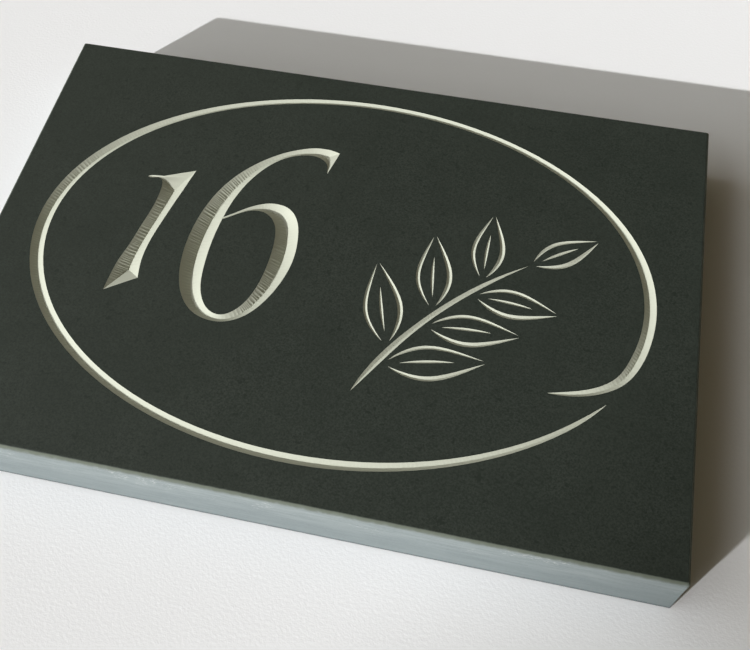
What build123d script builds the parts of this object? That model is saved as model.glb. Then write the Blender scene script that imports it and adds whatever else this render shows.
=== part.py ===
from build123d import *
import os
from math import atan2, ceil, cos, degrees, radians, sin, tan

# Slab of slate, lying on its back with the carved face up (millimetres and degrees)
WIDTH = 215.0
HEIGHT = 153.0
THICKNESS = 20.0
FACE_ARRIS = 1.0
CORNER_ARRIS = 0.6
BACK_ARRIS = 0.5

# Blind holes in the back, for studs that hold the plaque on a wall out of sight
STUD_HOLE = 8.0
STUD_DEPTH = 12.0
STUD_SPACING = 140.0
DRILL_POINT = 118.0

# V-cuts: how steeply the walls fall from the face, along a cut and at its square ends
WALL_FALL = 29.0
END_FALL = 21.0
# A cutting form stands this far above the face
CUT_PROUD = 0.4
# A tapering cut narrows past nothing by this much, and so ends in a point
RUN_OUT = 0.2
# Between two sections across a cut its line runs on or turns by about this much, or by a part of each
SECTION_RUN = 8.0
SECTION_TURN = 5.0
SECTION_TRIALS = 300

# Oval border: margins from the slab's edges to the outside of the cut, and the cut's widths
OVAL_SIDE_MARGIN = 12.75
OVAL_TOP_MARGIN = 9.3
OVAL_BOTTOM_MARGIN = 11.35
OVAL_LEFT_CUT = 4.3
OVAL_TOP_CUT = 2.0
OVAL_RIGHT_CUT = 3.5
OVAL_BOTTOM_CUT = 2.8
# The border runs clockwise from a point low on the right to where it turns in, as angles round the oval
OVAL_START = -27.6
OVAL_TURN_IN = -375.0
OVAL_STEPS = 48
# The first stretch swells from the point over this angle, fast at first
OVAL_SWELL = 57.0
# The point stands out from the oval by this much, and falls in with it over this angle
OVAL_START_OUT = 1.45
OVAL_START_SWEEP = 40.0
# The end that turns in: angle, share of the oval's radius, and share of the cut's full width
OVAL_TAIL = ((-381, 0.994, 0.85), (-386.5, 0.960, 0.66), (-391, 0.905, 0.42), (-394, 0.857, 0.0))

# Figure 1, in hundredths of its height from its lower left: level, left edge and right edge of the stem
ONE_HEIGHT = 49.2
ONE_PLACE = (-66.1, -21.7)
ONE_STEM = (
    (-5.0, 0.8, 20.9),
    (3.9, 0.8, 19.8),
    (11.8, 1.4, 18.5),
    (21.3, 2.4, 16.9),
    (31.9, 4.8, 16.5),
    (49.8, 7.9, 18.7),
    (66.5, 10.7, 22.0),
    (75.6, 11.4, 23.9),
    (84.1, 11.1, 25.8),
    (87.6, 10.2, 26.5),
    (89.2, 9.0, 26.9),
    (90.2, 6.5, 27.1),
    (91.2, 2.0, 27.3),
    (93.5, -3.0, 27.8),
    (98.0, -6.0, 28.8),
    (104.0, -7.0, 30.1),
)
ONE_FOOT = ((1.4, 0.0), (18.5, 11.8))
ONE_TOP = ((29.3, 100.2), (2.0, 88.4))
# Hairline that draws the flag out: the line of the cut, with its width
ONE_HAIRLINE = ((-0.2, 89.5, 0.0), (1.0, 89.8, 1.45), (6.0, 90.7, 1.5), (10.0, 91.0, 1.6), (15.0, 90.0, 1.6))

# Figure 6, in hundredths of its height from its lower left: the line of the cut, with its width
SIX_HEIGHT = 70.9
SIX_PLACE = (-46.4, -26.2)
SIX_LINE = (
    (57.7, 87.9, 14.0),
    (55.1, 92.0, 11.8),
    (52.5, 94.5, 9.0),
    (49.5, 96.2, 7.2),
    (46.0, 97.1, 5.7),
    (42.3, 97.2, 4.6),
    (38.4, 96.4, 3.8),
    (30.9, 93.2, 3.1),
    (24.3, 88.2, 3.7),
    (18.8, 82.1, 5.1),
    (12.5, 71.9, 7.4),
    (8.4, 60.8, 9.2),
    (6.1, 49.2, 10.3),
    (5.2, 37.3, 10.6),
    (5.8, 25.4, 10.2),
    (8.2, 14.6, 8.7),
    (14.0, 5.6, 6.2),
    (20.4, 2.3, 3.9),
    (24.2, 2.1, 3.4),
    (30.9, 5.4, 4.4),
    (37.4, 14.8, 6.5),
    (41.0, 26.4, 8.7),
    (42.3, 37.7, 10.0),
    (41.4, 49.0, 9.9),
    (39.0, 56.1, 9.9),
    (36.1, 59.4, 9.3),
    (33.4, 60.7, 7.9),
    (30.1, 61.4, 5.9),
    (26.4, 61.1, 3.7),
    (22.3, 59.7, 2.0),
    (18.6, 57.4, 1.2),
    (11.0, 51.9, 0.9),
)
SIX_END = ((51.1, 86.2), (54.0, 98.6))
# The line is cut in two strokes that meet at the foot of the figure, this share of the way along
SIX_SPLIT = 0.55

# Leaf sprig: a bowed stem from its foot, leaning from the horizontal
SPRIG_FOOT = (13.0, -41.0)
SPRIG_LENGTH = 70.0
SPRIG_LEAN = 50.0
SPRIG_BOW = 5.0
STEM_CUT = 1.7
# Share of the way along the stem, and share of its full cut there
STEM_SWELL = ((0.0, 0.0), (0.12, 0.9), (0.4, 1.0), (0.75, 0.75), (1.0, 0.0))
# Leaves in pairs along the stem, each drawn as two edges and a rib
LEAF_PAIRS = 3
LEAF_FIRST = 14.0
LEAF_PITCH = 18.0
LEAF_STAGGER = 5.0
LEAF_LENGTH = 29.0
LEAF_WIDTH = 10.5
LEAF_SHRINK = 0.92
LEAF_SPREAD = 48.0
LEAF_GAP = 1.4
LEAF_EDGE_CUT = 1.5
LEAF_FAR_EDGE_CUT = 1.15
LEAF_RIB_CUT = 0.9
# Edge and rib of a leaf: shares of its length, of its width and of the full cut
LEAF_EDGE = ((0.0, 0.06, 0.0), (0.12, 0.27, 0.55), (0.36, 0.48, 1.0), (0.68, 0.33, 0.8), (1.0, 0.0, 0.0))
LEAF_RIB = ((0.10, 0.0, 0.0), (0.36, 0.04, 1.0), (0.70, 0.0, 0.0))

HALF_WIDTH = WIDTH / 2
HALF_HEIGHT = HEIGHT / 2
WALL_TAN = tan(radians(WALL_FALL))
END_TAN = tan(radians(END_FALL))
OVAL_LEFT = -HALF_WIDTH + OVAL_SIDE_MARGIN + OVAL_LEFT_CUT / 2
OVAL_RIGHT = HALF_WIDTH - OVAL_SIDE_MARGIN - OVAL_RIGHT_CUT / 2
OVAL_TOP = HALF_HEIGHT - OVAL_TOP_MARGIN - OVAL_TOP_CUT / 2
OVAL_BOTTOM = -HALF_HEIGHT + OVAL_BOTTOM_MARGIN + OVAL_BOTTOM_CUT / 2


def slab():
    """The sawn slab with its eased edges."""
    body = Box(WIDTH, HEIGHT, THICKNESS, align=(Align.CENTER, Align.CENTER, Align.MIN))
    body = fillet(body.edges().filter_by(Axis.Z), CORNER_ARRIS)
    body = fillet(body.faces().sort_by(Axis.Z)[-1].edges(), FACE_ARRIS)
    return chamfer(body.faces().sort_by(Axis.Z)[0].edges(), BACK_ARRIS)


def stud_holes():
    """Drilled holes with their conical ends, on a level line across the back."""
    radius = STUD_HOLE / 2
    point = radius / tan(radians(DRILL_POINT / 2))
    profile = Polyline((0, 0), (radius, 0), (radius, STUD_DEPTH), (0, STUD_DEPTH + point), close=True)
    hole = revolve(Plane.XZ * make_face(profile), Axis.Z)
    return [Pos(side * STUD_SPACING / 2, 0, 0) * hole for side in (-1, 1)]


def v_section(at, across, half_width):
    """Triangle across a cut: its lowest corner is the valley, and its top stands above the face."""
    spread = across * (half_width + CUT_PROUD / WALL_TAN)
    middle = Vector(at.X, at.Y, THICKNESS + CUT_PROUD)
    valley = Vector(at.X, at.Y, THICKNESS - half_width * WALL_TAN)
    return make_face(Polyline(middle - spread, valley, middle + spread, close=True))


def section_shares(line, start=0.0, end=1.0):
    """Shares of a line at which its sections lie: close together where it bends, and wide apart elsewhere."""
    trials = [start + (end - start) * trial / SECTION_TRIALS for trial in range(SECTION_TRIALS + 1)]
    effort = [0.0]
    for here, there in zip(trials, trials[1:]):
        run = ((line @ there) - (line @ here)).length / SECTION_RUN
        turn = (line % here).get_angle(line % there) / SECTION_TURN
        effort.append(effort[-1] + run + turn)
    count = ceil(effort[-1])
    chosen = [start]
    for section in range(1, count):
        wanted = effort[-1] * section / count
        after = next(trial for trial, spent in enumerate(effort) if spent >= wanted)
        lead = (effort[after] - wanted) / (effort[after] - effort[after - 1])
        chosen.append(trials[after] - lead * (trials[after] - trials[after - 1]))
    return chosen + [end]


def groove(stations, start=0.0, end=1.0):
    """V-cut along a smooth line. Each station is a place on the face and the width of the cut."""
    line = Spline(*stations)
    profiles = []
    for share in section_shares(line, start, end):
        at = line @ share
        along = line % share
        across = Vector(-along.Y, along.X, 0).normalized()
        profiles.append(v_section(at, across, at.Z / 2))
    return loft(profiles, ruled=True)


def tapered(full_cut, share):
    """Width of a cut at a share of its full width. At no width it runs out in a point."""
    return full_cut * share if share > 0 else -RUN_OUT


def square_end(first, second):
    """Stone left standing beyond a cut's square end, with the cut on the left of first to second."""
    start = Vector(*first, THICKNESS)
    along = Vector(*second, THICKNESS) - start
    inward = Vector(-along.Y, along.X, 0)
    reach = along.length
    rise = reach * END_TAN
    slope = Polyline((-reach, rise), (reach, -rise), (-reach, -rise), close=True)
    plane = Plane(origin=start - along, x_dir=inward, z_dir=along)
    return extrude(plane * make_face(slope), amount=3 * reach)


def figure_point(place, height, point):
    """A point of a figure, from hundredths of its height to its place on the face."""
    return (place[0] + point[0] * height / 100, place[1] + point[1] * height / 100)


def figure_line(place, height, line):
    """Stations of a figure's cut, from hundredths of its height."""
    return [(*figure_point(place, height, (x, y)), tapered(height / 100, width)) for x, y, width in line]


def border():
    """The oval border, a cut that swells and thins like a pen line and turns in at its end."""
    centre = Vector((OVAL_LEFT + OVAL_RIGHT) / 2, (OVAL_BOTTOM + OVAL_TOP) / 2)
    reach = Vector((OVAL_RIGHT - OVAL_LEFT) / 2, (OVAL_TOP - OVAL_BOTTOM) / 2)

    def station(turn, radius_share, cut_share):
        c = cos(radians(turn))
        s = sin(radians(turn))
        side_cut = OVAL_RIGHT_CUT if c > 0 else OVAL_LEFT_CUT
        end_cut = OVAL_TOP_CUT if s > 0 else OVAL_BOTTOM_CUT
        full_cut = end_cut + (side_cut - end_cut) * c ** 4
        x = centre.X + reach.X * c * radius_share
        y = centre.Y + reach.Y * s * radius_share
        return (x, y, tapered(full_cut, cut_share))

    stations = []
    for step in range(OVAL_STEPS):
        turn = OVAL_START + (OVAL_TURN_IN - OVAL_START) * step / (OVAL_STEPS - 1)
        swell = min(1.0, (OVAL_START - turn) / OVAL_SWELL) ** 0.5
        lead = max(0.0, 1.0 - (OVAL_START - turn) / OVAL_START_SWEEP)
        stations.append(station(turn, 1.0 + OVAL_START_OUT * lead ** 2 / reach.X, swell))
    for turn, radius_share, cut_share in OVAL_TAIL:
        stations.append(station(turn, radius_share, cut_share))
    return groove(stations)


def figure_one():
    """The 1: a waisted stem with a slanting foot, and a flag at its top that ends in a hairline."""
    edges = Spline(*ONE_STEM)
    profiles = []
    for share in section_shares(edges):
        level, left, right = edges @ share
        west = Vector(*figure_point(ONE_PLACE, ONE_HEIGHT, (left, level)))
        east = Vector(*figure_point(ONE_PLACE, ONE_HEIGHT, (right, level)))
        profiles.append(v_section((west + east) / 2, Vector(1, 0, 0), (east - west).length / 2))
    stem = loft(profiles, ruled=True)
    for first, second in (ONE_FOOT, ONE_TOP):
        start = figure_point(ONE_PLACE, ONE_HEIGHT, first)
        end = figure_point(ONE_PLACE, ONE_HEIGHT, second)
        stem = stem - square_end(start, end)
    hairline = groove(figure_line(ONE_PLACE, ONE_HEIGHT, ONE_HAIRLINE))
    return [stem, hairline]


def figure_six():
    """The 6: one swelling line from its beaked end, round the bowl and back to the stem as a hairline."""
    stations = figure_line(SIX_PLACE, SIX_HEIGHT, SIX_LINE)
    start = figure_point(SIX_PLACE, SIX_HEIGHT, SIX_END[0])
    end = figure_point(SIX_PLACE, SIX_HEIGHT, SIX_END[1])
    stem = groove(stations, 0.0, SIX_SPLIT) - square_end(start, end)
    bowl = groove(stations, SIX_SPLIT, 1.0)
    return [stem, bowl]


def leaf(base, heading, length, width):
    """One leaf: two edges that bow out and meet at the tip, and a rib that stops short of it."""
    along = Vector(1, 0, 0).rotate(Axis.Z, heading)
    outward = Vector(0, 1, 0).rotate(Axis.Z, heading)
    cuts = []
    for line, side, cut in (
        (LEAF_EDGE, 1, LEAF_FAR_EDGE_CUT),
        (LEAF_EDGE, -1, LEAF_EDGE_CUT),
        (LEAF_RIB, 1, LEAF_RIB_CUT),
    ):
        stations = []
        for length_share, width_share, cut_share in line:
            at = base + along * (length * length_share) + outward * (width * width_share * side)
            stations.append((at.X, at.Y, tapered(cut, cut_share)))
        cuts.append(groove(stations))
    return cuts


def sprig():
    """A bowed stem with staggered pairs of leaves and one leaf at its tip."""
    foot = Vector(*SPRIG_FOOT)
    along = Vector(1, 0, 0).rotate(Axis.Z, SPRIG_LEAN)
    outward = Vector(0, 1, 0).rotate(Axis.Z, SPRIG_LEAN)
    middle = foot + along * (SPRIG_LENGTH / 2) + outward * SPRIG_BOW
    line = ThreePointArc(foot, middle, foot + along * SPRIG_LENGTH)
    stations = []
    for share, cut_share in STEM_SWELL:
        at = line @ share
        stations.append((at.X, at.Y, tapered(STEM_CUT, cut_share)))
    cuts = [groove(stations)]

    def leaf_on_stem(share, side, pair):
        tangent = line % share
        normal = Vector(-tangent.Y, tangent.X, 0)
        base = (line @ share) + normal * side * (STEM_CUT / 2 + LEAF_GAP)
        heading = degrees(atan2(tangent.Y, tangent.X)) + side * LEAF_SPREAD
        size = LEAF_SHRINK ** pair
        return leaf(base, heading, LEAF_LENGTH * size, LEAF_WIDTH * size)

    for pair in range(LEAF_PAIRS):
        place = LEAF_FIRST + pair * LEAF_PITCH
        cuts += leaf_on_stem(place / line.length, -1, pair)
        cuts += leaf_on_stem((place + LEAF_STAGGER) / line.length, 1, pair)
    cuts += leaf_on_stem(1.0, 0, LEAF_PAIRS)
    return cuts


def plaque():
    """The finished plaque: the slab with its border, number, sprig and fixing holes cut in."""
    body = slab()
    for cut in [border(), *figure_one(), *figure_six(), *sprig(), *stud_holes()]:
        body = body - cut
    return body


os.makedirs("parts", exist_ok=True)
export_step(plaque(), "parts/slate_plaque.step")
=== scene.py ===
"""The looks of a carved slate house number plaque: stone finishes, chisel marks, floor, light and camera.

The plaque lies on its back with its honed face up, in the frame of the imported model, in metres.
"""

import math
import random
from bisect import bisect
from collections import deque, namedtuple

import bmesh
import bpy
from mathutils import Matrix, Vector, geometry


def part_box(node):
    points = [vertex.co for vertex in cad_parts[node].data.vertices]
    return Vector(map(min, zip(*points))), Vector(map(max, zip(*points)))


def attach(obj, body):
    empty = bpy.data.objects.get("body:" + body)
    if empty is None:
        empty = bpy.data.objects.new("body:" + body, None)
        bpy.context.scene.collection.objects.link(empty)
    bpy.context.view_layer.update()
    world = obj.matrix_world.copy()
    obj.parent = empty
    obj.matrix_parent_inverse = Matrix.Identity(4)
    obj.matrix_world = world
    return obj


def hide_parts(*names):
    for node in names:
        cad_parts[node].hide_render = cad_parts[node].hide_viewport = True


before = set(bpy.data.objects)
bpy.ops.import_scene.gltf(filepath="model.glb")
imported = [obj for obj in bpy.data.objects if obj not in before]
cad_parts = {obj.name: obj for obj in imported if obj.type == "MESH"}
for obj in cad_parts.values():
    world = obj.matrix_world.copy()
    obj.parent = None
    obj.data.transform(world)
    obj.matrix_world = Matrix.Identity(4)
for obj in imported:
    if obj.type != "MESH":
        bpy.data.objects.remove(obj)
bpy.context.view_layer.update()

NODE = "slate_plaque"
PIECE = "carved_slab"
MM = 0.001

# The plaque's own box, which tells the slab's outside from the walls of the cuts.
LOW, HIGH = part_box(NODE)
FACE_LEVEL = HIGH.z

# Material slots of the plaque: the slab's own skin, and the walls of the cuts.
SKIN_SLOT = 0
CUT_SLOT = 1

# Walls of the cuts: how far under the face they reach, how far they stay from the slab's left and right
# ends, and how steep they are, as the z of their normal.
CUT_DEPTH_LIMIT = 4 * MM
CUT_MARGIN = 3 * MM
WALL_UP_MIN = 0.60
WALL_UP_MAX = 0.985

# Points less than a seam apart are one point. An edge that turns by less than SHARP_EDGE is shaded round,
# unless it bounds one of the slab's flat outer sides.
SEAM = 0.0005 * MM
SHARP_EDGE = math.radians(14)

# Mesh of a wall for its chisel marks: lines along it, one at the share MARK_FADE of the way down and one
# as far above its foot, and lines down it at most MARK_SPACING apart. A wall's points have a fall, from
# 0 at the face to 1 lowest, and those on one line along it have the same fall to within SAME_FALL.
WALL_LINES = 2
MARK_FADE = 0.12
MARK_SPACING = 0.125 * MM
SAME_FALL = 0.01

# Chisel marks: hollows side by side down the walls, with ridges between them. Breadth and relief differ
# from mark to mark by up to the share MARK_UNEVEN, as drawn with MARK_SEED. On its way down, a mark moves
# along the wall by MARK_LEAN of the depth, and its relief is at most MARK_DEPTH_SHARE of that depth.
MARK_BREADTH = 0.95 * MM
MARK_RELIEF = 0.22 * MM
MARK_UNEVEN = 0.5
MARK_SEED = 16
MARK_LEAN = 0.2
MARK_DEPTH_SHARE = 0.16

# Share of their relief that marks have on walls facing left, and how fast it grows as walls face right.
MARK_LEFTWARD = 0.2
MARK_GAIN = 1.2

# Mean height of a mark, with its hollow's floor at 0 and its ridges at 1. Marks rise above a wall and sink
# below it about this height, so that the wall as a whole stays in place.
MARK_MEAN = 1 / 3

# Name of the points' height within their mark, which the cuts' material reads to paint highlight on the
# ridges and shade in the hollows.
RIDGE = "ridge"

# A wall that marks leave with a corner whose normal has a lower z than this is folded over.
FOLDED_UP = 0.2

# Camera at the photograph's viewpoint: turn in degrees, lens and sensor in millimetres.
CAMERA_PLACE = (0.04364, -0.16787, 0.26523)
CAMERA_TURN = (31.188, 1.188, 12.459)
CAMERA_LENS = 47.958
CAMERA_SENSOR = 36.0
CAMERA_SHIFT = (0.0476, 0.0164)
CAMERA_NEAR = 0.01
CAMERA_FAR = 50.0

# Light: a low hard key from the front left, a pool of more light from the same direction on the plaque and
# round it, a broad soft fill from the left, a weak warm lamp from the back left, and a dim warm room that
# the camera sees as a pale backdrop.
KEY_FROM = Vector((-0.584, -0.737, 0.341))
KEY_STRENGTH = 0.92
KEY_ANGLE = math.radians(0.5)
POOL_MIDDLE = Vector((-0.0454, 0.036, 0.0))
POOL_RADIUS = 0.183
POOL_SOFT = 0.05
POOL_STRENGTH = 3.63
POOL_DISTANCE = 10.0
FILL_FROM = Vector((-0.871, -0.357, 0.337))
FILL_DISTANCE = 2.5
FILL_SIZE = 3.4
FILL_POWER = 76.0
FILL_COLOUR = (0.957, 0.99, 1.0)
BACK_FROM = Vector((-0.54, 0.455, 0.707))
BACK_DISTANCE = 2.5
BACK_SIZE = 2.0
BACK_POWER = 5.0
BACK_COLOUR = (1.0, 0.95, 0.82)
ROOM_COLOUR = (1.0, 0.79, 0.42, 1.0)
ROOM_STRENGTH = 0.070
BACKDROP = (0.86, 0.86, 0.86, 1.0)

# A noise: the breadth of its blotches in millimetres, its octaves of finer detail, how strong these are,
# and its scale along the slate's layers, where less than 1 draws the blotches out into streaks.
Noise = namedtuple("Noise", "breadth detail roughness along", defaults=(0.55, 1.0))

# Spans are of a noise, or in millimetres where they are depths under the face or heights above the floor.
# Shares go with the two ends of a span.
ALL = (0.0, 1.0)
FADING = (1.0, 0.0)

# Honed face: a pale speckle, weaker in the mottle's blotches, and dark flecks.
HONED = (0.0197, 0.0262, 0.0207, 1.0)
HONED_PALE = (0.0395, 0.048, 0.040, 1.0)
HONED_ROUGHNESS = (0.50, 0.60)
SPECKLE = Noise(0.55, 2.0, roughness=0.7)
SPECKLE_SPAN = (0.25, 0.75)
SPECKLE_GLOSS_SPAN = (0.2, 0.8)
SPECKLE_RELIEF = 0.004
MOTTLE = Noise(14.0, 3.0)
MOTTLE_SPAN = (0.35, 0.70)
MOTTLE_SHARES = (0.0, 0.30)
FLECKS = Noise(1.6, 1.0)
FLECKS_SPAN = (0.26, 0.34)

# Sawn sides and back: the slate's layers, smudges and grit, painted shade that darkens them towards the
# foot, scuffs in patches that thin out downwards, and a painted shadow line just above the foot.
SAWN = (0.180, 0.210, 0.216, 1.0)
SAWN_PALE = (0.250, 0.284, 0.284, 1.0)
LAYERS = Noise(1.0, 4.0, along=0.10)
LAYERS_SPAN = (0.28, 0.74)
LAYERS_RELIEF = 0.02
SMUDGES = Noise(7.0, 3.0, along=0.35)
SMUDGES_SPAN = (0.40, 0.75)
SMUDGES_SHARES = (0.0, 0.6)
GRIT = Noise(0.45, 2.0, along=0.5)
GRIT_SPAN = (0.30, 0.75)
GRIT_SHARES = (0.0, 0.55)
# Painted shade: the sides darker towards the foot.
FOOT_SHADE = (0.150, 0.178, 0.184, 1.0)
FOOT_SHADE_DEPTHS = (4.0, 14.0)
FOOT_SHADE_SHARES = (0.0, 0.5)
SCUFF = (0.40, 0.42, 0.41, 1.0)
SCRATCHES = Noise(0.4, 2.0, along=0.3)
SCRATCHES_SPAN = (0.58, 0.68)
SCRATCHES_SHARES = (0.0, 0.9)
PATCHES = Noise(11.0, 1.0)
PATCHES_SPAN = (0.52, 0.62)
SCUFF_DEPTHS = (3.0, 12.0)
# Painted shadow: a dark line just above the foot.
SHADOW_LINE = (0.100, 0.118, 0.122, 1.0)
SHADOW_LINE_TOP_HEIGHTS = (0.8, 1.9)
SHADOW_LINE_LOW_HEIGHTS = (0.02, 0.1)

# Arris: from honed through rubbed to sawn, over depths that wander by these millimetres.
RUBBED = (0.115, 0.130, 0.104, 1.0)
RUBBED_DEPTHS = (0.01, 0.12)
RUBBED_WANDER = (-0.03, 0.01)
RUBBED_MATT = (0.0, 0.28)
SAWN_DEPTHS = (0.2, 2.2)
SAWN_WANDER = (-0.3, 0.3)
WANDER = Noise(2.4, 3.0)
WANDER_SPAN = (0.25, 0.75)
SKIN_SPECULAR = 0.30

# Raw stone of the cuts with dust on it, and painted highlight on the ridges between the marks and painted
# shade in their hollows, which stand in for the grazing light that the ridges catch.
CUT_RIDGE_HIGHLIGHT = (0.645, 0.667, 0.560, 1.0)
CUT_HOLLOW_SHADE = (0.458, 0.474, 0.398, 1.0)
CUT_ROUGHNESS = 0.85
CUT_SPECULAR = 0.2
DUST = (0.50, 0.515, 0.43, 1.0)
DUST_GRAIN = Noise(0.45, 2.0)
DUST_SPAN = (0.35, 0.75)
DUST_SHARES = (0.0, 0.5)
DUST_RELIEF = 0.008

# Floor of pale paper.
FLOOR_SIZE = 6.0
PAPER = (0.905, 0.905, 0.92, 1.0)
PAPER_GRAIN = Noise(0.9, 2.0)
PAPER_RELIEF = 0.05
PAPER_ROUGHNESS = 0.9
PAPER_DIFFUSE_ROUGHNESS = 0.25
PAPER_SPECULAR = 0.1


class Nodes:
    """A material's node tree, with short calls to add nodes and links."""

    def __init__(self, name):
        self.material = bpy.data.materials.new(name)
        self.material.use_nodes = True
        self.tree = self.material.node_tree
        self.shader = self.tree.nodes["Principled BSDF"]

    def add(self, kind, **settings):
        node = self.tree.nodes.new(kind)
        for key, value in settings.items():
            setattr(node, key, value)
        return node

    def link(self, source, target):
        self.tree.links.new(source, target)

    def feed(self, socket, value):
        if isinstance(value, bpy.types.NodeSocket):
            self.link(value, socket)
        else:
            socket.default_value = value

    def set(self, name, value):
        """Feed one of the shader's own sockets."""
        self.feed(self.shader.inputs[name], value)

    def math(self, operation, first, second):
        node = self.add("ShaderNodeMath", operation=operation)
        self.feed(node.inputs[0], first)
        self.feed(node.inputs[1], second)
        return node.outputs[0]

    def scaled(self, vector, factors):
        node = self.add("ShaderNodeVectorMath", operation="MULTIPLY")
        self.link(vector, node.inputs[0])
        node.inputs[1].default_value = factors
        return node.outputs[0]

    def place(self):
        """Place on the object, in millimetres."""
        coordinates = self.add("ShaderNodeTexCoord")
        return self.scaled(coordinates.outputs["Object"], (1 / MM, 1 / MM, 1 / MM))

    def noise(self, place, kind):
        node = self.add("ShaderNodeTexNoise")
        self.link(self.scaled(place, (kind.along, kind.along, 1.0)), node.inputs["Vector"])
        node.inputs["Scale"].default_value = 1 / kind.breadth
        node.inputs["Detail"].default_value = kind.detail
        node.inputs["Roughness"].default_value = kind.roughness
        return node.outputs[0]

    def ramp(self, value, span, shares=ALL):
        """A smooth change from the first share to the second, while value crosses the span."""
        node = self.add("ShaderNodeMapRange", interpolation_type="SMOOTHSTEP")
        self.link(value, node.inputs["Value"])
        for name, number in zip(("From Min", "From Max", "To Min", "To Max"), (*span, *shares)):
            node.inputs[name].default_value = number
        return node.outputs["Result"]

    def blend(self, share, first, second):
        """The first colour, with this share of the second."""
        node = self.add("ShaderNodeMix", data_type="RGBA")
        self.feed(node.inputs["Factor"], share)
        colours = [socket for socket in node.inputs if socket.type == "RGBA"]
        self.feed(colours[0], first)
        self.feed(colours[1], second)
        return next(socket for socket in node.outputs if socket.type == "RGBA")

    def bump(self, height, relief, under=None):
        """Fine relief, so many millimetres high, on top of another or on the plain surface."""
        node = self.add("ShaderNodeBump")
        node.inputs["Strength"].default_value = 1.0
        node.inputs["Distance"].default_value = relief * MM
        self.link(height, node.inputs["Height"])
        if under is not None:
            self.link(under, node.inputs["Normal"])
        return node.outputs["Normal"]


def honed_colour(n, place, speckle):
    mottle = n.noise(place, MOTTLE)
    flecks = n.noise(place, FLECKS)
    honed = n.blend(n.ramp(speckle, SPECKLE_SPAN), HONED, HONED_PALE)
    honed = n.blend(n.ramp(mottle, MOTTLE_SPAN, MOTTLE_SHARES), honed, HONED)
    return n.blend(n.ramp(flecks, FLECKS_SPAN), HONED, honed)


def sawn_colour(n, place, layers, depth, height):
    grit = n.noise(place, GRIT)
    smudges = n.noise(place, SMUDGES)
    sawn = n.blend(n.ramp(layers, LAYERS_SPAN), SAWN, SAWN_PALE)
    sawn = n.blend(n.ramp(smudges, SMUDGES_SPAN, SMUDGES_SHARES), sawn, SAWN)
    sawn = n.blend(n.ramp(grit, GRIT_SPAN, GRIT_SHARES), sawn, SAWN_PALE)
    # Painted shade, darker towards the foot.
    sawn = n.blend(n.ramp(depth, FOOT_SHADE_DEPTHS, FOOT_SHADE_SHARES), sawn, FOOT_SHADE)

    scratches = n.ramp(n.noise(place, SCRATCHES), SCRATCHES_SPAN, SCRATCHES_SHARES)
    patches = n.ramp(n.noise(place, PATCHES), PATCHES_SPAN)
    scuffs = n.math("MULTIPLY", scratches, patches)
    scuffs = n.math("MULTIPLY", scuffs, n.ramp(depth, SCUFF_DEPTHS, FADING))
    sawn = n.blend(scuffs, sawn, SCUFF)

    # Painted shadow: a dark line just above the foot.
    under_top = n.ramp(height, SHADOW_LINE_TOP_HEIGHTS, FADING)
    under_line = n.ramp(height, SHADOW_LINE_LOW_HEIGHTS, FADING)
    return n.blend(n.math("SUBTRACT", under_top, under_line), sawn, SHADOW_LINE)


def slate_skin():
    """Honed dark face, an arris rubbed paler, and sawn sides and back with the slate's layers."""
    n = Nodes("slate_skin")
    place = n.place()
    split = n.add("ShaderNodeSeparateXYZ")
    n.link(place, split.inputs[0])
    height = split.outputs["Z"]
    depth = n.math("SUBTRACT", FACE_LEVEL / MM, height)
    speckle = n.noise(place, SPECKLE)
    layers = n.noise(place, LAYERS)

    wander = n.noise(place, WANDER)
    rubbed_depth = n.math("ADD", depth, n.ramp(wander, WANDER_SPAN, RUBBED_WANDER))
    rubbed_share = n.ramp(rubbed_depth, RUBBED_DEPTHS)
    sawn_depth = n.math("ADD", depth, n.ramp(wander, WANDER_SPAN, SAWN_WANDER))
    sawn_share = n.ramp(sawn_depth, SAWN_DEPTHS)
    colour = n.blend(rubbed_share, honed_colour(n, place, speckle), RUBBED)
    n.set("Base Color", n.blend(sawn_share, colour, sawn_colour(n, place, layers, depth, height)))

    roughness = n.ramp(speckle, SPECKLE_GLOSS_SPAN, HONED_ROUGHNESS)
    n.set("Roughness", n.math("ADD", roughness, n.ramp(rubbed_share, ALL, RUBBED_MATT)))
    n.set("Specular IOR Level", SKIN_SPECULAR)
    n.set("Normal", n.bump(layers, LAYERS_RELIEF, under=n.bump(speckle, SPECKLE_RELIEF)))
    return n.material


def slate_cut():
    """Raw pale stone of the cuts, dusty and matt, with painted highlight on the marks' ridges and painted
    shade in their hollows.
    """
    n = Nodes("slate_cut")
    ridge = n.add("ShaderNodeAttribute", attribute_name=RIDGE).outputs["Fac"]
    dust = n.noise(n.place(), DUST_GRAIN)
    # Painted highlight on the marks' ridges and painted shade in their hollows.
    stone = n.blend(ridge, CUT_HOLLOW_SHADE, CUT_RIDGE_HIGHLIGHT)
    n.set("Base Color", n.blend(n.ramp(dust, DUST_SPAN, DUST_SHARES), stone, DUST))
    n.set("Roughness", CUT_ROUGHNESS)
    n.set("Specular IOR Level", CUT_SPECULAR)
    n.set("Normal", n.bump(dust, DUST_RELIEF))
    return n.material


def floor_paper():
    """Matt pale paper with a fine tooth."""
    n = Nodes("floor_paper")
    n.set("Base Color", PAPER)
    n.set("Roughness", PAPER_ROUGHNESS)
    n.set("Diffuse Roughness", PAPER_DIFFUSE_ROUGHNESS)
    n.set("Specular IOR Level", PAPER_SPECULAR)
    n.set("Normal", n.bump(n.noise(n.place(), PAPER_GRAIN), PAPER_RELIEF))
    return n.material


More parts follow.
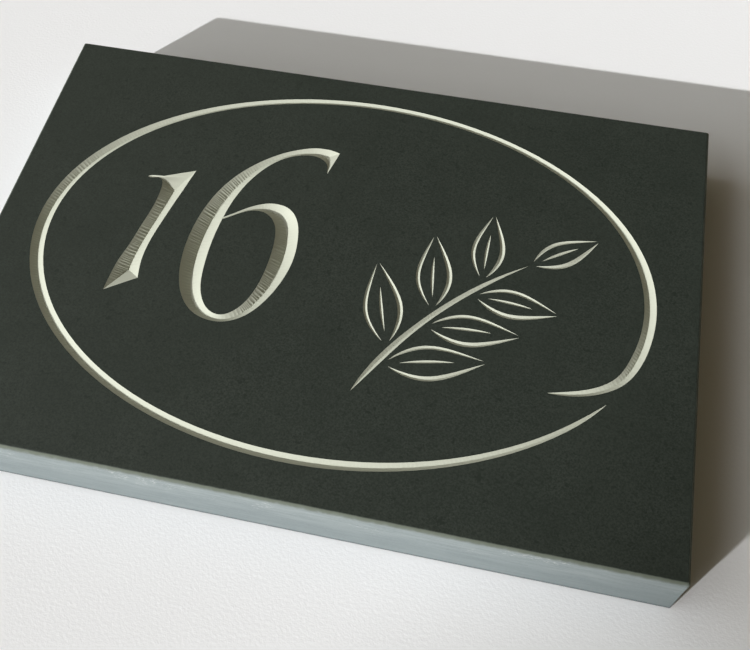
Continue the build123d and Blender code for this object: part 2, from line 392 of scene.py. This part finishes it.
def is_cut_wall(face):
    """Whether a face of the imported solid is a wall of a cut."""
    level = face.calc_center_median().z
    deep = FACE_LEVEL - CUT_DEPTH_LIMIT < level < FACE_LEVEL - SEAM
    inside = all(LOW.x + CUT_MARGIN < vert.co.x < HIGH.x - CUT_MARGIN for vert in face.verts)
    return deep and inside and WALL_UP_MIN < face.normal.z < WALL_UP_MAX


def in_outer_plane(face):
    """Whether a face lies in one of the slab's six outer planes."""
    middle = face.calc_center_median()
    return any(min(middle[axis] - LOW[axis], HIGH[axis] - middle[axis]) < SEAM for axis in range(3))


def is_round(edge):
    """Whether the stone runs round this edge, with no arris to see."""
    first, second = edge.link_faces
    return edge.calc_face_angle() < SHARP_EDGE and in_outer_plane(first) == in_outer_plane(second)


def walls_of(form):
    return [face for face in form.faces if face.material_index == CUT_SLOT]


def clear_walls(form):
    """Make each wall run plain from its rim to its foot.

    Points part of the way down a wall are welded to the one straight below.
    """
    below = {}
    for vert in sorted(form.verts, key=lambda vert: vert.co.z):
        on_wall = all(face.material_index == CUT_SLOT for face in vert.link_faces)
        if on_wall and all(edge.smooth for edge in vert.link_edges):
            ends = [edge.other_vert(vert) for edge in vert.link_edges]
            steepest = max(ends, key=lambda end: (vert.co.z - end.co.z) / (vert.co - end.co).length)
            below[vert] = below.get(steepest, steepest)
    bmesh.ops.weld_verts(form, targetmap=below)


def join_walls(form):
    """Join a wall's triangles in pairs, which are the four-sided stretches that marks run down."""
    bmesh.ops.join_triangles(
        form,
        faces=walls_of(form),
        cmp_sharp=True,
        cmp_materials=True,
        angle_face_threshold=SHARP_EDGE,
        angle_shape_threshold=math.pi,
    )


def row_cuts(form, fall):
    """Lines along each wall, near its top and near its foot, and the fall of each point."""
    walls = walls_of(form)
    for face in walls:
        for vert in face.verts:
            vert[fall] = float(vert.co.z < FACE_LEVEL - SEAM)
    edges = dict.fromkeys(edge for face in walls for edge in face.edges)
    cross = [edge for edge in edges if edge.verts[0][fall] != edge.verts[1][fall]]
    bmesh.ops.subdivide_edges(form, edges=cross, cuts=WALL_LINES)
    moves = []
    for vert in form.verts:
        if 0 < vert[fall] < 1:
            ends = [edge.other_vert(vert) for edge in vert.link_edges]
            end = next(other for other in ends if other[fall] in (0, 1))
            moves.append((vert, end.co.lerp(vert.co, (WALL_LINES + 1) * MARK_FADE)))
    for vert, place in moves:
        vert.co = place


def column_cuts(form, fall):
    """Lines down each wall, as many across a stretch of wall at its top as at its foot."""
    facing = []
    for face in walls_of(form):
        level = [edge for edge in face.edges if abs(edge.verts[0][fall] - edge.verts[1][fall]) < SAME_FALL]
        if len(face.verts) == 4 and len(level) == 2 and not set(level[0].verts) & set(level[1].verts):
            facing.append(level)
    parts = {edge: math.ceil(edge.calc_length() / MARK_SPACING) for pair in facing for edge in pair}
    settled = False
    while not settled:
        settled = True
        for first, second in facing:
            if parts[first] != parts[second]:
                parts[first] = parts[second] = max(parts[first], parts[second])
                settled = False
    for number in sorted(set(parts.values()) - {1}):
        alike = [edge for edge in parts if parts[edge] == number]
        bmesh.ops.subdivide_edges(form, edges=alike, cuts=number - 1)


def rims(form):
    """The lines in which the walls meet the face, each as its points in order."""
    beside = {}
    for edge in form.edges:
        if len({face.material_index for face in edge.link_faces}) == 2:
            first, second = edge.verts
            beside.setdefault(first, []).append(second)
            beside.setdefault(second, []).append(first)
    lines = []
    while beside:
        vert = next(iter(beside))
        line = []
        while vert:
            line.append(vert)
            vert = next((other for other in beside.pop(vert) if other in beside), None)
        lines.append(line)
    return lines


def lengths_along(form, fall):
    """How far along its rim each point of a wall lies, with the rims taken end to end, and their length."""
    along = {}
    length = 0.0
    for line in rims(form):
        for last, vert in zip(line[:1] + line, line):
            length += (vert.co - last.co).length
            along[vert] = length
    queue = deque(along)
    while queue:
        vert = queue.popleft()
        for edge in vert.link_edges:
            other = edge.other_vert(vert)
            if 0 < other[fall] < 1 and other not in along:
                along[other] = along[vert]
                queue.append(other)
    return along, length


def uneven(size, draw):
    return size * (1 + MARK_UNEVEN * draw.uniform(-1, 1))


def mark_strength(outward):
    """Share of their relief that marks have on a wall, from the way it faces."""
    rightward = outward.xy.normalized().x
    return max(MARK_LEFTWARD, min(1.0, MARK_LEFTWARD + rightward * MARK_GAIN))


def is_folded(face):
    """Whether a wall's face turns under at one of its corners."""
    points = [vert.co for vert in face.verts]
    corners = zip(points[-1:] + points[:-1], points, points[1:] + points[:1])
    return any(geometry.normal(*corner).z < FOLDED_UP for corner in corners)


def unfold(form, plain):
    """Put points back to their plain places where the marks fold a narrow wall over."""
    folded = True
    while folded:
        faces = [face for face in walls_of(form) if is_folded(face)]
        folded = [vert for face in faces for vert in face.verts if vert in plain and vert.co != plain[vert]]
        for vert in folded:
            vert.co = plain[vert]


def chisel(form):
    """Marks of the chisel, which run down the walls side by side."""
    clear_walls(form)
    join_walls(form)
    # A new layer makes what was fetched before it stale, so both are made first.
    form.verts.layers.float.new("fall")
    ridge = form.verts.layers.float.new(RIDGE)
    fall = form.verts.layers.float["fall"]
    row_cuts(form, fall)
    column_cuts(form, fall)
    form.normal_update()
    along, whole_length = lengths_along(form, fall)

    # Places of the ridges along the rims, and each mark's relief near the top and near the foot.
    draw = random.Random(MARK_SEED)
    ridges = [0.0]
    while ridges[-1] < whole_length + CUT_DEPTH_LIMIT:
        ridges.append(ridges[-1] + uneven(MARK_BREADTH, draw))
    reliefs = [(uneven(MARK_RELIEF, draw), uneven(MARK_RELIEF, draw)) for _ in ridges]

    for vert in form.verts:
        vert[ridge] = MARK_MEAN
    plain = {vert: vert.co.copy() for vert in along}
    for vert, length in along.items():
        down = FACE_LEVEL - vert.co.z
        spot = length + down * MARK_LEAN
        mark = bisect(ridges, spot)
        across = (spot - ridges[mark - 1]) / (ridges[mark] - ridges[mark - 1])
        relief = min(reliefs[mark][round(vert[fall])], down * MARK_DEPTH_SHARE)
        swell = mark_strength(vert.normal) * relief * ((2 * across - 1) ** 2 - MARK_MEAN)
        # The cuts' material paints highlight where this value is above MARK_MEAN and shade where it is
        # below.
        vert[ridge] = MARK_MEAN + swell / MARK_RELIEF
        vert.co += vert.normal * swell
    unfold(form, plain)
    form.verts.layers.float.remove(fall)


def carved_slab():
    """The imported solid's own form, its cuts chiselled and its round edges shaded smooth."""
    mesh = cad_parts[NODE].data.copy()
    mesh.name = PIECE
    mesh.materials.clear()
    mesh.materials.append(slate_skin())
    mesh.materials.append(slate_cut())
    form = bmesh.new()
    form.from_mesh(mesh)
    bmesh.ops.remove_doubles(form, verts=form.verts, dist=SEAM)
    form.normal_update()
    for face in form.faces:
        face.smooth = True
        face.material_index = CUT_SLOT if is_cut_wall(face) else SKIN_SLOT
    for edge in form.edges:
        edge.smooth = is_round(edge)
    chisel(form)
    many_sided = [face for face in form.faces if len(face.verts) > 4]
    bmesh.ops.triangulate(form, faces=many_sided, ngon_method="BEAUTY")
    form.to_mesh(mesh)
    form.free()
    # A zero vector stands for the mesh's own normal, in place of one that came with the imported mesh.
    mesh.normals_split_custom_set([(0, 0, 0)] * len(mesh.loops))
    slab = bpy.data.objects.new(PIECE, mesh)
    bpy.context.scene.collection.objects.link(slab)
    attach(slab, "root")
    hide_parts(NODE)


def floor():
    bpy.ops.mesh.primitive_plane_add(size=FLOOR_SIZE, location=(0, 0, 0))
    plane = bpy.context.object
    plane.name = "floor"
    plane.data.materials.append(floor_paper())


def lamp(name, kind, direction, **settings):
    """A lamp that shines from a direction."""
    light = bpy.data.objects.new(name, bpy.data.lights.new(name, kind))
    for key, value in settings.items():
        setattr(light.data, key, value)
    light.rotation_mode = "QUATERNION"
    light.rotation_quaternion = direction.to_track_quat("Z", "Y")
    bpy.context.scene.collection.objects.link(light)
    return light


def lights():
    lamp("key_lamp", "SUN", KEY_FROM, energy=KEY_STRENGTH, angle=KEY_ANGLE)

    # The pool's lamp looks as large as the key. Its power is counted over a whole sphere.
    pool = lamp("pool_lamp", "SPOT", KEY_FROM, energy=POOL_STRENGTH * 4 * math.pi * POOL_DISTANCE ** 2)
    pool.data.spot_size = 2 * math.atan(POOL_RADIUS / POOL_DISTANCE)
    pool.data.spot_blend = POOL_SOFT
    pool.data.shadow_soft_size = POOL_DISTANCE * math.tan(KEY_ANGLE / 2)
    pool.location = POOL_MIDDLE + KEY_FROM.normalized() * POOL_DISTANCE

    fill = lamp("fill_lamp", "AREA", FILL_FROM, energy=FILL_POWER, size=FILL_SIZE, color=FILL_COLOUR)
    fill.location = FILL_FROM.normalized() * FILL_DISTANCE

    back = lamp("back_lamp", "AREA", BACK_FROM, energy=BACK_POWER, size=BACK_SIZE, color=BACK_COLOUR)
    back.location = BACK_FROM.normalized() * BACK_DISTANCE


def room():
    """Dim warm surroundings, seen by the camera as a pale backdrop."""
    world = bpy.data.worlds.new("room")
    bpy.context.scene.world = world
    world.use_nodes = True
    tree = world.node_tree
    dim = tree.nodes["Background"]
    dim.inputs["Color"].default_value = ROOM_COLOUR
    dim.inputs["Strength"].default_value = ROOM_STRENGTH
    pale = tree.nodes.new("ShaderNodeBackground")
    pale.inputs["Color"].default_value = BACKDROP
    rays = tree.nodes.new("ShaderNodeLightPath")
    mix = tree.nodes.new("ShaderNodeMixShader")
    tree.links.new(rays.outputs["Is Camera Ray"], mix.inputs["Fac"])
    tree.links.new(dim.outputs[0], mix.inputs[1])
    tree.links.new(pale.outputs[0], mix.inputs[2])
    tree.links.new(mix.outputs[0], tree.nodes["World Output"].inputs["Surface"])


def camera():
    lens = bpy.data.cameras.new("camera")
    lens.lens = CAMERA_LENS
    lens.sensor_fit = "HORIZONTAL"
    lens.sensor_width = CAMERA_SENSOR
    lens.shift_x, lens.shift_y = CAMERA_SHIFT
    lens.clip_start = CAMERA_NEAR
    lens.clip_end = CAMERA_FAR
    eye = bpy.data.objects.new("camera", lens)
    eye.location = CAMERA_PLACE
    eye.rotation_euler = [math.radians(angle) for angle in CAMERA_TURN]
    bpy.context.scene.collection.objects.link(eye)
    bpy.context.scene.camera = eye


carved_slab()
floor()
lights()
room()
camera()
bpy.context.scene.view_settings.view_transform = "Standard"
